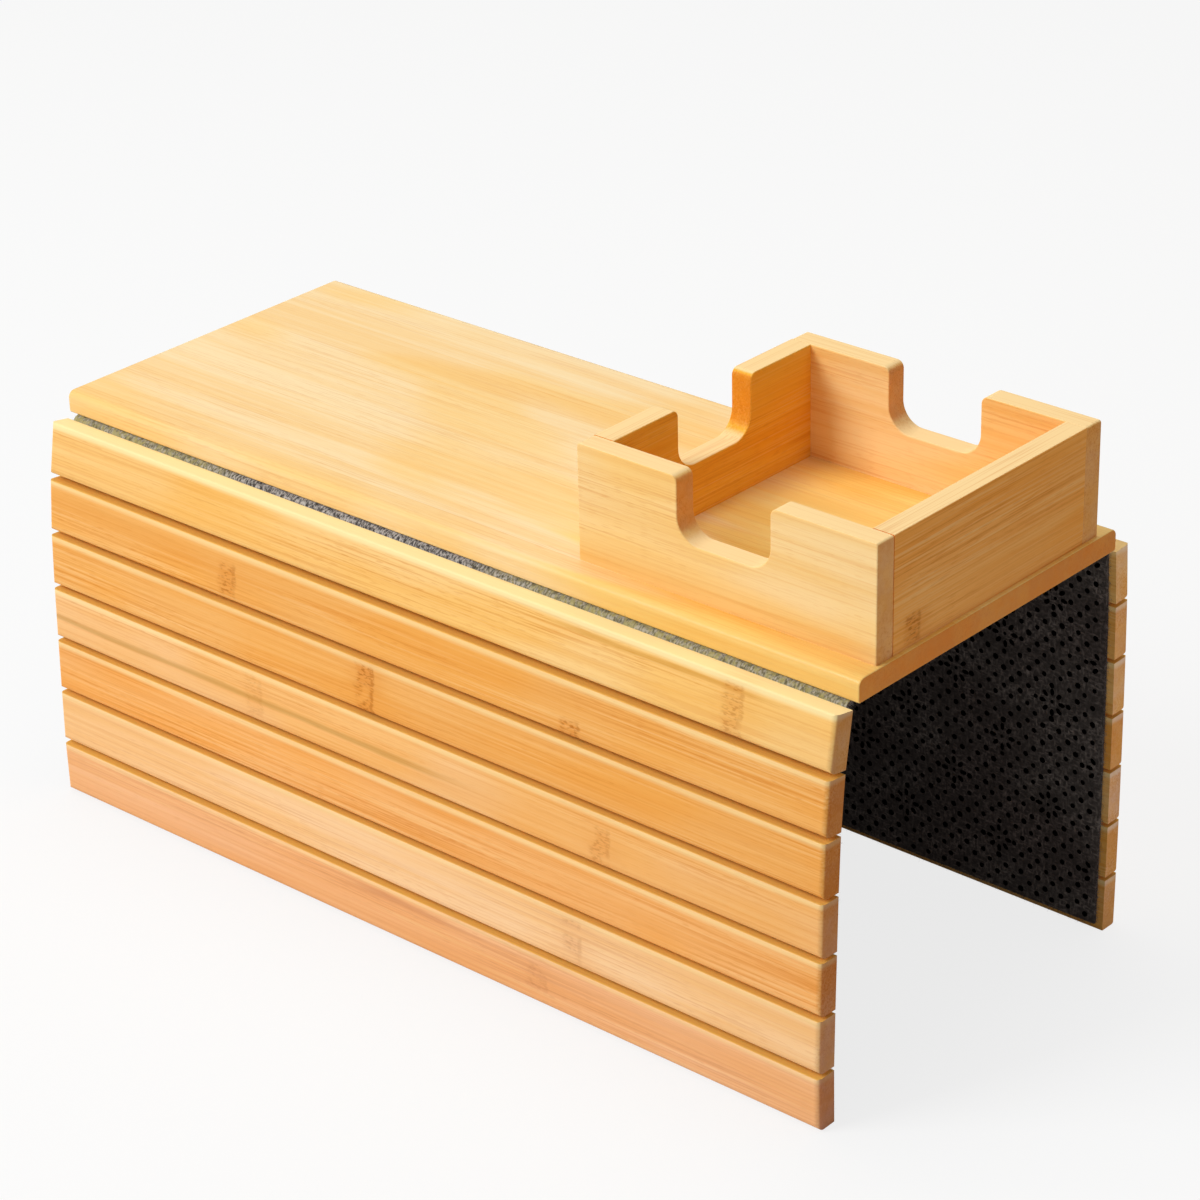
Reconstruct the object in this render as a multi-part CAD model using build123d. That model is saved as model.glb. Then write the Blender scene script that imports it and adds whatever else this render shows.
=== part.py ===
from build123d import *
import math
import os

# A tray that drapes over the arm of a sofa: a stiff bamboo board with a cup box on it, and a
# flap of seven bamboo slats down each side, all glued to one sheet of non-slip felt.
# Millimetres. X runs along the arm, the front flap is on the -Y side, and +Z is up.
# The origin is the middle of the felt's underside, where the tray rests on the arm.

# Top board
BOARD_LENGTH = 400.0
BOARD_WIDTH = 154.6
BOARD_THICKNESS = 9.2
BOARD_TOP_ROUND = 3.0
BOARD_BOTTOM_ROUND = 1.0
BOARD_END_BREAK = 0.6

# Felt backing
FELT_THICKNESS = 1.5
FELT_END_INSET = 4.0
FELT_CORNER_INSET = 2.6
FELT_HEM_INSET = 2.5
FELT_HINGE_CLEARANCE = 0.35
FELT_BEND_RADIUS = 3.0

# Slats of the two flaps
SLAT_COUNT = 7
SLAT_LENGTH = 398.0
SLAT_WIDTH = 22.0
SLAT_THICKNESS = 9.0
SLAT_GAP = 1.6
SLAT_TOP_ROUND = 0.8
SLAT_BOTTOM_ROUND = 3.0
SLAT_END_ROUND = 2.2
CORNER_GAP = 2.2

# How far each slat leans outwards from the plumb line as the flap hangs, in degrees
FRONT_LEANS = (9.7, 5.3, 2.6, 1.6, 1.6, 1.2, -0.8)
REAR_LEANS = (3.5, 1.5, 0.8, 0.3, 0.0, -0.5, -1.0)

# Cup box
BOX_LENGTH = 135.0
BOX_WIDTH = 132.8
BOX_HEIGHT = 46.2
BOX_WALL = 9.5
BOX_END_INSET = 1.8
BOX_OFFSET_Y = 0.9
BOX_EDGE_BREAK = 0.6
BOX_CORNER_BREAK = 1.2
NOTCH_WIDTH = 42.0
NOTCH_DEPTH = 25.0
NOTCH_ROUND = 9.5
NOTCH_LIP_ROUND = 3.0

# Wood screws up through the board into the box walls
SCREW_LENGTH = 20.0
SCREW_RADIUS = 1.75
SCREW_POINT = 4.0
SCREW_HEAD_RADIUS = 3.5
SCREW_HEAD_HEIGHT = 2.0
SCREW_RECESS_WIDTH = 0.8
SCREW_RECESS_LENGTH = 3.6
SCREW_RECESS_DEPTH = 1.2
SCREW_SPACING = 90.0
SCREW_SIDE_SPACING = 64.0

# Dowels across the butt joints at the corners of the box
DOWEL_RADIUS = 2.5
DOWEL_LENGTH = 16.0
DOWEL_DEPTH_IN_FACE = 6.0
DOWEL_HEIGHTS = (13.0, 33.0)
FIT_CLEARANCE = 0.05

# Levels and places worked out from the sizes above
BOARD_BOTTOM_Z = FELT_THICKNESS
BOARD_TOP_Z = BOARD_BOTTOM_Z + BOARD_THICKNESS
FELT_MIDDLE_Z = FELT_THICKNESS / 2
HINGE_Y = BOARD_WIDTH / 2 + CORNER_GAP / 2
SLAT_PITCH = SLAT_WIDTH + SLAT_GAP
FELT_CORNER_LEG = FELT_CORNER_INSET + CORNER_GAP / 2
FELT_LENGTH = BOARD_LENGTH - 2 * FELT_END_INSET
BOX_CENTRE_X = BOARD_LENGTH / 2 - BOX_END_INSET - BOX_LENGTH / 2
BOX_CENTRE = Location((BOX_CENTRE_X, BOX_OFFSET_Y, BOARD_TOP_Z))
FACE_WALL_Y = BOX_WIDTH / 2 - BOX_WALL / 2
SIDE_WALL_X = BOX_LENGTH / 2 - BOX_WALL / 2
SIDE_WALL_LENGTH = BOX_WIDTH - 2 * BOX_WALL


def save(part, name):
    """Writes one sub-part to its own STEP file."""
    part.label = name
    export_step(part, f"parts/{name}.step")


def above(z):
    """A test for edges whose middle lies higher than z."""
    return lambda edge: edge.center().Z > z


# Fasteners

def screw():
    """A countersunk wood screw, head down at z = 0 and point up, with a cross recess."""
    shank_top = SCREW_LENGTH - SCREW_POINT
    profile = Polyline(
        (0, 0),
        (SCREW_HEAD_RADIUS, 0),
        (SCREW_RADIUS, SCREW_HEAD_HEIGHT),
        (SCREW_RADIUS, shank_top),
        (0, SCREW_LENGTH),
        close=True,
    )
    body = revolve(Plane.XZ * make_face(profile), Axis.Z)
    slot = Box(
        SCREW_RECESS_LENGTH,
        SCREW_RECESS_WIDTH,
        2 * SCREW_RECESS_DEPTH,
    )
    return body - slot - Rot(0, 0, 90) * slot


def screw_hole():
    """The hole that the screw fills, a little wider than the screw."""
    radius = SCREW_RADIUS + FIT_CLEARANCE
    head = SCREW_HEAD_RADIUS + FIT_CLEARANCE
    profile = Polyline(
        (0, 0),
        (head, 0),
        (radius, SCREW_HEAD_HEIGHT),
        (radius, SCREW_LENGTH - SCREW_POINT),
        (0, SCREW_LENGTH + FIT_CLEARANCE),
        close=True,
    )
    return revolve(Plane.XZ * make_face(profile), Axis.Z)


def screw_places():
    """Two screws under each wall of the box."""
    places = []
    for side in (-1, 1):
        for end in (-1, 1):
            face_x = BOX_CENTRE_X + end * SCREW_SPACING / 2
            face_y = BOX_OFFSET_Y + side * FACE_WALL_Y
            places.append(Location((face_x, face_y, BOARD_BOTTOM_Z)))
            side_x = BOX_CENTRE_X + side * SIDE_WALL_X
            side_y = BOX_OFFSET_Y + end * SCREW_SIDE_SPACING / 2
            places.append(Location((side_x, side_y, BOARD_BOTTOM_Z)))
    return places


def dowel_places():
    """Two dowels across each corner of the box, lying along Y."""
    places = []
    joint_y = BOX_WIDTH / 2 - BOX_WALL
    middle_y = joint_y + DOWEL_DEPTH_IN_FACE - DOWEL_LENGTH / 2
    for side in (-1, 1):
        for end in (-1, 1):
            for height in DOWEL_HEIGHTS:
                place = Location((end * SIDE_WALL_X, side * middle_y, height))
                places.append(BOX_CENTRE * place * Rot(90, 0, 0))
    return places


def dowel(clearance=0.0):
    """A plain wooden dowel, or with a clearance the hole for it."""
    return Cylinder(DOWEL_RADIUS + clearance, DOWEL_LENGTH + 2 * clearance)


SCREW_PLACES = screw_places()
DOWEL_PLACES = dowel_places()


def drilled(part):
    """The part with every screw and dowel hole that reaches it."""
    for place in SCREW_PLACES:
        part -= place * screw_hole()
    for place in DOWEL_PLACES:
        part -= place * dowel(FIT_CLEARANCE)
    return part


# Top board

def top_board():
    """A flat board with its long edges rounded, more on top than below."""
    outline = Rectangle(BOARD_WIDTH, BOARD_THICKNESS)
    top = outline.vertices().sort_by(Axis.Y)[-2:]
    outline = fillet(top, BOARD_TOP_ROUND)
    bottom = outline.vertices().sort_by(Axis.Y)[:2]
    outline = fillet(bottom, BOARD_BOTTOM_ROUND)
    middle_z = BOARD_BOTTOM_Z + BOARD_THICKNESS / 2
    section = Plane((0, 0, middle_z), x_dir=(0, 1, 0), z_dir=(1, 0, 0))
    board = extrude(section * outline, BOARD_LENGTH / 2, both=True)
    ends = board.faces().filter_by(Axis.X).edges()
    board = fillet(ends, BOARD_END_BREAK)
    return drilled(board)


# Cup box

def wall(length, notched, corner_break):
    """One wall standing on XZ with its foot at z = 0, with or without the notch in its top."""
    outline = Rectangle(length, BOX_HEIGHT)
    corners = outline.vertices().sort_by(Axis.Y)[-2:]
    if notched:
        notch = Rectangle(NOTCH_WIDTH, 2 * NOTCH_DEPTH)
        outline -= Pos(0, BOX_HEIGHT / 2) * notch
        inner = outline.vertices().filter_by(lambda v: abs(v.X) < NOTCH_WIDTH)
        lips = inner.sort_by(Axis.Y)[-2:]
        outline = fillet(lips, NOTCH_LIP_ROUND)
        inner = outline.vertices().filter_by(lambda v: abs(v.X) < NOTCH_WIDTH)
        outline = fillet(inner.sort_by(Axis.Y)[:2], NOTCH_ROUND)
        corners = outline.vertices().filter_by(lambda v: abs(v.X) > NOTCH_WIDTH)
        corners = corners.sort_by(Axis.Y)[-2:]
    if corner_break:
        outline = fillet(corners, corner_break)
    face = Plane.XZ * Pos(0, BOX_HEIGHT / 2) * outline
    panel = extrude(face, BOX_WALL / 2, both=True)
    sides = panel.faces().filter_by(Axis.Y).edges()
    inside = length / 2 - FIT_CLEARANCE
    rims = sides.filter_by(above(FIT_CLEARANCE))
    if not corner_break:
        rims = rims.filter_by(lambda edge: abs(edge.center().X) < inside)
    return fillet(rims, BOX_EDGE_BREAK)


def face_wall(side):
    """The front (-1) or rear (1) wall, which runs the full length of the box."""
    place = BOX_CENTRE * Pos(0, side * FACE_WALL_Y, 0)
    return drilled(place * wall(BOX_LENGTH, True, BOX_CORNER_BREAK))


def side_wall(end, notched):
    """The left (-1) or right (1) wall, which stands between the other two."""
    place = BOX_CENTRE * Pos(end * SIDE_WALL_X, 0, 0) * Rot(0, 0, 90)
    return drilled(place * wall(SIDE_WALL_LENGTH, notched, 0))


# Flaps

def hinge_places(leans):
    """Where the felt bends above each slat, as (y, z), for a flap on the -Y side."""
    y = -HINGE_Y
    z = FELT_MIDDLE_Z
    places = []
    reach = CORNER_GAP / 2 + SLAT_WIDTH + SLAT_GAP / 2
    for lean in leans:
        places.append((y, z))
        y -= reach * math.sin(math.radians(lean))
        z -= reach * math.cos(math.radians(lean))
        reach = SLAT_PITCH
    return places


def slat_plane(place, lean):
    """A plane at a hinge with its X across the slat's thickness, outwards, and its Y down it."""
    outwards = (0, -math.cos(math.radians(lean)), math.sin(math.radians(lean)))
    return Plane((0, *place), x_dir=outwards, z_dir=(1, 0, 0))


def slab(plane, length, start, end, inner, outer):
    """A bar along X between two distances down the plane and two across it."""
    middle = Pos((inner + outer) / 2, (start + end) / 2)
    face = plane * middle * Rectangle(outer - inner, end - start)
    return extrude(face, length / 2, both=True)


def loose_slat():
    """A slat with X across its thickness, outwards, Y down its width and Z along it.

    Its outer edges are rounded: a little at the top, more at the bottom and at both ends.
    """
    middle = SLAT_THICKNESS / 2
    end_view = Pos(middle, SLAT_WIDTH / 2) * Rectangle(SLAT_THICKNESS, SLAT_WIDTH)
    upper = end_view.vertices().sort_by(Axis.Y)[:2].sort_by(Axis.X)[-1]
    end_view = fillet(upper, SLAT_TOP_ROUND)
    lower = end_view.vertices().sort_by(Axis.Y)[-2:].sort_by(Axis.X)[-1]
    end_view = fillet(lower, SLAT_BOTTOM_ROUND)
    bar = extrude(end_view, SLAT_LENGTH / 2, both=True)
    top_view = Pos(middle, 0) * Rectangle(SLAT_THICKNESS, SLAT_LENGTH)
    top_view = fillet(top_view.vertices().sort_by(Axis.X)[-2:], SLAT_END_ROUND)
    return bar & extrude(Plane.XZ * top_view, 2 * SLAT_WIDTH, both=True)


def flap(leans):
    """The slats and felt strips of a flap on the -Y side, from the top one down."""
    slats = []
    strips = []
    bar = loose_slat()
    half = FELT_THICKNESS / 2
    for n, place in enumerate(hinge_places(leans)):
        plane = slat_plane(place, leans[n])
        top = SLAT_GAP / 2
        felt_top = FELT_HINGE_CLEARANCE
        if n == 0:
            top = CORNER_GAP / 2
            felt_top = FELT_CORNER_LEG
        felt_end = top + SLAT_WIDTH + SLAT_GAP / 2 - FELT_HINGE_CLEARANCE
        if n == SLAT_COUNT - 1:
            felt_end = top + SLAT_WIDTH - FELT_HEM_INSET
        slats.append(plane * Pos(half, top) * bar)
        strips.append(slab(plane, FELT_LENGTH, felt_top, felt_end, -half, half))
    return slats, strips


def felt_bend(lean):
    """The felt where it leaves the board and turns down to the first slat, on the -Y side."""
    down_y = -FELT_CORNER_LEG * math.sin(math.radians(lean))
    down_z = -FELT_CORNER_LEG * math.cos(math.radians(lean))
    line = FilletPolyline(
        (FELT_CORNER_LEG - HINGE_Y, FELT_MIDDLE_Z),
        (-HINGE_Y, FELT_MIDDLE_Z),
        (down_y - HINGE_Y, down_z + FELT_MIDDLE_Z),
        radius=FELT_BEND_RADIUS,
    )
    start = (0, FELT_CORNER_LEG - HINGE_Y, FELT_MIDDLE_Z)
    across = Plane(start, x_dir=(1, 0, 0), z_dir=(0, -1, 0))
    section = across * Rectangle(FELT_LENGTH, FELT_THICKNESS)
    return sweep(section, path=Plane.YZ * line)


def main():
    os.makedirs("parts", exist_ok=True)
    save(top_board(), "top_board")
    save(face_wall(-1), "box_front_wall")
    save(face_wall(1), "box_rear_wall")
    save(side_wall(-1, True), "box_left_wall")
    save(side_wall(1, False), "box_right_wall")
    save(Compound([place * screw() for place in SCREW_PLACES]), "box_screws")
    save(Compound([place * dowel() for place in DOWEL_PLACES]), "box_corner_dowels")

    felt_width = BOARD_WIDTH - 2 * FELT_CORNER_INSET
    felt = Box(FELT_LENGTH, felt_width, FELT_THICKNESS)
    save(Pos(0, 0, FELT_THICKNESS / 2) * felt, "backing_top")

    for side, leans in (("front", FRONT_LEANS), ("rear", REAR_LEANS)):
        slats, strips = flap(leans)
        bend = felt_bend(leans[0])
        if side == "rear":
            slats = [mirror(part, Plane.XZ) for part in slats]
            strips = [mirror(part, Plane.XZ) for part in strips]
            bend = mirror(bend, Plane.XZ)
        save(bend, f"{side}_backing_bend")
        for n in range(SLAT_COUNT):
            save(slats[n], f"{side}_slat_{n + 1}")
            save(strips[n], f"{side}_backing_{n + 1}")
        for n, (y, z) in enumerate(hinge_places(leans)):
            print(f"{side} hinge {n + 1}: y {y:.3f}, z {z:.3f}")


main()
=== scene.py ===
"""Looks of the sofa arm tray: bamboo board, cup box, two slatted flaps and their felt backing.

Metres throughout. X runs along the arm, the front flap is on the -Y side and +Z is up.
"""

import logging
import math
from collections.abc import Sequence
from dataclasses import dataclass, replace
from enum import Enum
from functools import reduce
from typing import Any

import bmesh
import bpy
import numpy as np
from mathutils import Matrix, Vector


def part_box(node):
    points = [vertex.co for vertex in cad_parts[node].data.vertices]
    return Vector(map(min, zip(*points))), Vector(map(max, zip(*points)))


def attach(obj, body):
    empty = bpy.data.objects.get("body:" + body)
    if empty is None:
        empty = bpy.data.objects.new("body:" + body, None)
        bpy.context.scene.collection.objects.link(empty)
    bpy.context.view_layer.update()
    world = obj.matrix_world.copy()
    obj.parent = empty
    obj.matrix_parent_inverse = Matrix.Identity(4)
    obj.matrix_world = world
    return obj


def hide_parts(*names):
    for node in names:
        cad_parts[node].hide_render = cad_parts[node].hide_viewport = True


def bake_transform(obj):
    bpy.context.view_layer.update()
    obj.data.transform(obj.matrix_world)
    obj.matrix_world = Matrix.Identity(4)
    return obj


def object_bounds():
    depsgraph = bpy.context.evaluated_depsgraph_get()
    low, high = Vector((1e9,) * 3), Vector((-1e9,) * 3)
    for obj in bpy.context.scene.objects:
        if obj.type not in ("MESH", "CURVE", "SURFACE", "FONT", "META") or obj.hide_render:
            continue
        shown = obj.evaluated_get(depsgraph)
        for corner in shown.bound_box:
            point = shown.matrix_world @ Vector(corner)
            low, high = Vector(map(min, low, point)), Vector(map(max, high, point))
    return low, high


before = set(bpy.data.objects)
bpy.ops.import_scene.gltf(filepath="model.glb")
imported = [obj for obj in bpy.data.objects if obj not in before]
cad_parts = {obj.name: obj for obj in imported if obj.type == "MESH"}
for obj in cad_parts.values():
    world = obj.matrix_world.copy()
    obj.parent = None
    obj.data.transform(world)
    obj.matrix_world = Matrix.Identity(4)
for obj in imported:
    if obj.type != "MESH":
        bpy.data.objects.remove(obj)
CAD_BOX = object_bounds()

Colour = tuple[float, float, float]
Point = tuple[float, float, float]
Limits = tuple[float, float]
WHITE: Colour = (1.0, 1.0, 1.0)
MM = 0.001
UP_AXIS = 2
log = logging.getLogger("sofa_arm_tray")


class Grain(Enum):
    """Which way the bamboo's fibres run; the value is the axis's number."""

    ALONG_X = 0
    ALONG_Y = 1


class Side(Enum):
    """The flap on the -Y side or on the +Y side; the value is the sign of its Y."""

    FRONT = -1
    REAR = 1


class Blend(Enum):
    """How a second colour goes onto a first one; the value is the Mix node's own word."""

    MIX = "MIX"
    MULTIPLY = "MULTIPLY"


# Shader tools


class Signal:
    """A value that varies over a surface: one output of a shader node, with arithmetic."""

    def __init__(self, graph: "Graph", node: bpy.types.Node, key: int | str) -> None:
        """Keeps what the signal stands for.

        Args:
            graph: the node tree it belongs to.
            node: the node.
            key: which of the node's outputs is meant.
        """
        self.graph = graph
        self.node = node
        self.key = key

    @property
    def socket(self) -> bpy.types.NodeSocket:
        """The output socket."""
        return self.node.outputs[self.key]

    def output(self, key: int | str) -> "Signal":
        """Another output of the same node."""
        return Signal(self.graph, self.node, key)

    def _maths(self, operation: str, *values: "Signal | float") -> "Signal":
        """Adds a Math node.

        Args:
            operation: the node's operation.
            values: its inputs in order.

        Returns:
            The node's result.
        """
        return self.graph.node(
            "ShaderNodeMath", {"operation": operation}, dict(enumerate(values))
        )

    def __add__(self, other: "Signal | float") -> "Signal":
        """self + other."""
        return self._maths("ADD", self, other)

    def __radd__(self, other: float) -> "Signal":
        """other + self."""
        return self._maths("ADD", other, self)

    def __sub__(self, other: "Signal | float") -> "Signal":
        """self - other."""
        return self._maths("SUBTRACT", self, other)

    def __rsub__(self, other: float) -> "Signal":
        """other - self."""
        return self._maths("SUBTRACT", other, self)

    def __mul__(self, other: "Signal | float") -> "Signal":
        """self * other."""
        return self._maths("MULTIPLY", self, other)

    def __rmul__(self, other: float) -> "Signal":
        """other * self."""
        return self._maths("MULTIPLY", other, self)

    def __abs__(self) -> "Signal":
        """The size of self without its sign."""
        return self._maths("ABSOLUTE", self)

    def swing(self, amount: float) -> "Signal":
        """Noise about 0.5 turned into an offset about 0: (self - 0.5) * amount."""
        return (self - 0.5) * amount

    def at_least(self, other: "Signal | float") -> "Signal":
        """The larger of self and other."""
        return self._maths("MAXIMUM", self, other)

    def floor(self) -> "Signal":
        """The whole number at or below self."""
        return self._maths("FLOOR", self)

    def rise(self, low: float, high: float) -> "Signal":
        """A smooth step that is 0 below low and 1 above high.

        Args:
            low: where it starts to rise.
            high: where it has reached 1.

        Returns:
            The stepped signal.
        """
        return self.graph.node(
            "ShaderNodeMapRange",
            {"interpolation_type": "SMOOTHSTEP"},
            {"Value": self, "From Min": low, "From Max": high},
        )


class Graph:
    """The node tree of a material or of the world."""

    def __init__(self, owner: bpy.types.Material | bpy.types.World) -> None:
        """Empties the owner's node tree.

        Args:
            owner: the material or world.
        """
        owner.use_nodes = True
        self.tree = owner.node_tree
        self.tree.nodes.clear()

    def node(
        self,
        kind: str,
        settings: dict[str, Any] | None = None,
        inputs: dict[int | str, Any] | None = None,
        output: int | str = 0,
    ) -> Signal:
        """Adds a node.

        Args:
            kind: the node's type.
            settings: its properties, set first.
            inputs: values or signals for its sockets.
            output: which output the signal stands for.

        Returns:
            A signal on that output.
        """
        node = self.tree.nodes.new(kind)
        for name, value in (settings or {}).items():
            setattr(node, name, value)
        for key, value in (inputs or {}).items():
            socket = node.inputs[key]
            if isinstance(value, Signal):
                self.tree.links.new(value.socket, socket)
            elif socket.type == "RGBA":
                socket.default_value = (*value, 1.0)
            else:
                socket.default_value = value
        return Signal(self, node, output)

    def split(self, vector: Signal) -> Signal:
        """The three parts of a vector, as outputs 0, 1 and 2."""
        return self.node("ShaderNodeSeparateXYZ", None, {0: vector})

    def mix(
        self,
        factor: Signal | float,
        first: Signal | Colour,
        second: Signal | Colour,
        blend: Blend = Blend.MIX,
    ) -> Signal:
        """Mixes two colours.

        Args:
            factor: 0 for the first colour, 1 for the second.
            first: a colour or a signal.
            second: a colour or a signal.
            blend: how they are mixed.

        Returns:
            The mixed colour.
        """
        settings = {"data_type": "RGBA", "blend_type": blend.value}
        return self.node("ShaderNodeMix", settings, {0: factor, 6: first, 7: second}, 2)

    def noise(
        self, place: Signal, cell: Sequence[float], seed: float, detail: float = 2.0
    ) -> Signal:
        """Soft noise whose blotches have the given size.

        Args:
            place: the coordinates, in metres.
            cell: the size of a blotch along x, y and z, in metres.
            seed: shifts the pattern.
            detail: how many finer layers it has.

        Returns:
            The noise, from 0 to 1 and about 0.5 in the middle.
        """
        inputs = {
            "Vector": place,
            "Location": (seed * 3.1, seed * 5.7, seed * 1.3),
            "Scale": tuple(1 / size for size in cell),
        }
        mapped = self.node("ShaderNodeMapping", None, inputs)
        inputs = {"Vector": mapped, "Scale": 1.0, "Detail": detail}
        return self.node("ShaderNodeTexNoise", None, inputs)

    def bump(self, height: Signal, depth: float, strength: float) -> Signal:
        """A normal tilted by a height.

        Args:
            height: the height, from 0 to 1.
            depth: how deep 1 is, in metres.
            strength: how much of the tilt is used.

        Returns:
            The normal.
        """
        inputs = {"Height": height, "Distance": depth, "Strength": strength}
        return self.node("ShaderNodeBump", None, inputs)

    def surface(self, inputs: dict[str, Any]) -> None:
        """Ends the tree in a Principled shader.

        Args:
            inputs: values or signals for the shader's sockets.
        """
        shader = self.node("ShaderNodeBsdfPrincipled", None, inputs)
        self.node("ShaderNodeOutputMaterial", None, {"Surface": shader})


# Finishes


@dataclass(frozen=True)
class Streak:
    """A stain that runs along the fibres.

    level is its place across the piece, in metres up, and start and end are along it. It comes
    in over fade_in and goes over fade_out, core is the full share of its width, and wander is
    how far it strays up and down.
    """

    level: float
    start: float
    end: float
    width: float
    colour: Colour
    strength: float
    fade_in: float = 30 * MM
    fade_out: float = 50 * MM
    core: float = 0.15
    wander: float = 4 * MM

    def mask(self, along: Signal, height: Signal) -> Signal:
        """Where the stain shows.

        Args:
            along: the coordinate along the fibres.
            height: the straying coordinate upwards.

        Returns:
            The mask, soft all round.
        """
        off = abs(height - self.level)
        ends = along.rise(self.start, self.start + self.fade_in)
        ends = ends * (1.0 - along.rise(self.end - self.fade_out, self.end))
        return (1.0 - off.rise(self.width * self.core, self.width)) * ends * self.strength


@dataclass(frozen=True)
class Knuckle:
    """A joint of the cane: a wavy line across the fibres, a band of pits beside it and a warmer
    zone round both.

    at is its place along the fibres; low and high are the heights between which it shows, with
    edge as their softness. zone, band and line are the distances over which each of the three
    fades, and band_back and line_ahead are how far the band and the line stand from the middle.
    """

    at: float
    low: float = -1.0
    high: float = 1.0
    strength: float = 1.0
    edge: float = 2 * MM
    zone: Limits = (2 * MM, 15 * MM)
    band: Limits = (1.8 * MM, 6.0 * MM)
    band_back: float = 1.4 * MM
    line: Limits = (0.4 * MM, 1.5 * MM)
    line_ahead: float = 2.6 * MM

    def masks(self, along: Signal, height: Signal) -> tuple[Signal, Signal, Signal]:
        """Where this knuckle shows.

        Args:
            along: the wavy coordinate along the fibres.
            height: the coordinate upwards.

        Returns:
            The masks of the warm zone, the band of pits and the line.
        """
        off = along - self.at
        shown = height.rise(self.low - self.edge, self.low + self.edge) * self.strength
        shown = shown * (1.0 - height.rise(self.high - self.edge, self.high + self.edge))
        zone = (1.0 - abs(off).rise(*self.zone)) * shown
        band = (1.0 - abs(off + self.band_back).rise(*self.band)) * shown
        line = (1.0 - abs(off - self.line_ahead).rise(*self.line)) * shown
        return zone, band, line


@dataclass(frozen=True)
class Layer:
    """One layer of the bamboo's pattern: noise in blotches that are long along the fibres.

    length and width are a blotch's size, shift is added to the wood's seed, detail is how many
    finer layers it has, and low and high are the noise values between which its mask rises.
    """

    length: float
    width: float
    shift: int
    detail: float = 2.0
    low: float = 0.0
    high: float = 1.0

    def mask(self, noise: Signal) -> Signal:
        """The layer's mask, from its noise."""
        return noise.rise(self.low, self.high)


# The layers of every bamboo finish, and how squarely a face must look along an axis to count
# as one that looks that way

BANDS = Layer(320 * MM, 11 * MM, 0, 1.0)
STREAKS = Layer(110 * MM, 2.4 * MM, 1, low=0.25, high=0.75)
FIBRE_LINES = Layer(70 * MM, 0.80 * MM, 2, 1.0, 0.51, 0.66)
PALE_LINES = replace(FIBRE_LINES, low=0.34, high=0.47)
PORES = Layer(6 * MM, 0.45 * MM, 3, 0.0, 0.60, 0.74)
STAIN_WANDER = Layer(60 * MM, 8 * MM, 4)
PITS = Layer(2.4 * MM, 0.75 * MM, 5, 1.0, 0.48, 0.66)
LINE_PITS = replace(PITS, low=0.30, high=0.52)
PATCHES = Layer(95 * MM, 30 * MM, 8, 1.0, 0.42, 0.62)
MARKED = Layer(150 * MM, 16 * MM, 9, 1.0, 0.38, 0.62)
# how far the lower edge of the painted highlight below a slat's arris strays
ARRIS_WANDER = Layer(70 * MM, 20 * MM, 10, 1.0)
PIT_GAPS = Layer(9 * MM, 7 * MM, 6, 0.0, 0.26, 0.44)
KNUCKLE_WAVE = Layer(5 * MM, 2.5 * MM, 7)
END_BLOTCHES = Layer(7 * MM, 7 * MM, 11, low=0.35, high=0.65)
FACING: Limits = (0.70, 0.92)


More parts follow.
